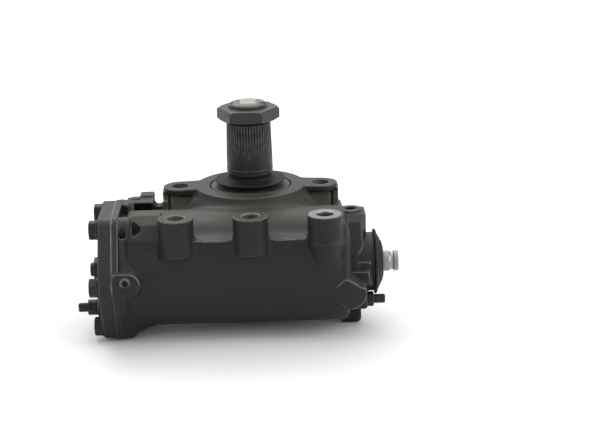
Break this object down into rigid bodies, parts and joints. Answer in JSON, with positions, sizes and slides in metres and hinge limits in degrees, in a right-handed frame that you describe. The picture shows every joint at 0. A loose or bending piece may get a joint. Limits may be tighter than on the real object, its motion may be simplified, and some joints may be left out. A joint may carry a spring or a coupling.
{
  "type": "steering gearbox",
  "caption": "Truck power steering gear in cast iron, with a serrated output shaft and large nut on top and a serrated input stub at one end.",
  "frame": {"origin": "centre of the four corner mounting holes, on the plane of the mounting faces", "axes": "+X along the piston and worm axis towards the input shaft, +Z along the output shaft, out of the mounting faces; +Y from the cylinder side to the output shaft side"},
  "size_m": [0.3573, 0.2195, 0.2395],
  "materials": {
    "painted_iron": "satin black paint on a casting",
    "painted_fasteners": "black, satin",
    "painted_steel": "satin black paint",
    "black_rubber": "matte",
    "ring_plastic": "matte",
    "machined_steel": "ground",
    "bearing_steel": "polished",
    "bright_steel": "turned"
  },
  "bodies": {
    "gear_housing": {"housing": "painted_iron", "cylinder_cover": "painted_iron", "cylinder_cover_seal": "black_rubber", "cylinder_cover_bolts": "painted_fasteners", "cover_plug": "painted_fasteners", "limit_screw_left": "painted_fasteners", "limit_nut_left": "painted_fasteners", "limit_screw_right": "painted_fasteners", "limit_nut_right": "painted_fasteners", "passage_plug": "bearing_steel", "side_cover": "painted_iron", "side_cover_seal": "black_rubber", "side_cover_bolts": "painted_fasteners", "adjusting_screw": "painted_fasteners", "adjusting_lock_nut": "painted_fasteners", "upper_bearing_race": "bearing_steel", "upper_bearing_rollers": "bearing_steel", "lower_bearing_race": "bearing_steel", "lower_bearing_rollers": "bearing_steel", "sector_seal": "black_rubber", "seal_retainer": "painted_steel", "worm_bearing_race": "bearing_steel", "worm_bearing_balls": "bearing_steel", "bearing_ring_nut": "bearing_steel", "input_seal": "black_rubber"},
    "sector": {"sector_shaft": "painted_steel", "adjuster_retainer": "bearing_steel", "pitman_nut": "painted_steel", "sector_dust_cap": "black_rubber"},
    "piston": {"rack_piston": "machined_steel", "piston_ring": "ring_plastic", "piston_end_plug": "bearing_steel", "ball_return_tube": "bearing_steel", "return_tube_clamp": "bearing_steel", "clamp_screws": "bearing_steel", "recirculating_balls": "bearing_steel", "limit_valve_pins": "bearing_steel", "limit_valve_spring": "bearing_steel"},
    "worm": {"worm_shaft": "machined_steel", "valve_sleeve": "machined_steel", "valve_sleeve_rings": "ring_plastic", "torsion_bar": "bearing_steel", "worm_torsion_pin": "bearing_steel"},
    "input": {"input_shaft": "bright_steel", "input_torsion_pin": "bearing_steel", "input_dust_cover": "black_rubber"}
  },
  "joints": [
    {"name": "sector_turn", "type": "hinge", "parent": "gear_housing", "child": "sector", "pos_m": [0, 0.064, 0.05], "axis": [0, 0, 1], "range_deg": [-45, 45]},
    {"name": "piston_slide", "type": "slide", "parent": "gear_housing", "child": "piston", "axis": [1, 0, 0], "range_m": [-0.0308, 0.0308]},
    {"name": "worm_turn", "type": "hinge", "parent": "gear_housing", "child": "worm", "pos_m": [0.1, -0.01, -0.0732], "axis": [1, 0, 0], "range_deg": [-850, 850]},
    {"name": "valve_twist", "type": "hinge", "parent": "worm", "child": "input", "pos_m": [0.15, -0.01, -0.0732], "axis": [1, 0, 0], "range_deg": [-4, 4], "stiffness_Nm_per_rad": 80, "deforming": ["torsion_bar"]}
  ],
  "couplings": [
    {"joint": "piston_slide", "follows": "sector_turn", "m_per_rad": 0.039},
    {"joint": "worm_turn", "follows": "sector_turn", "ratio": -18.85}
  ]
}
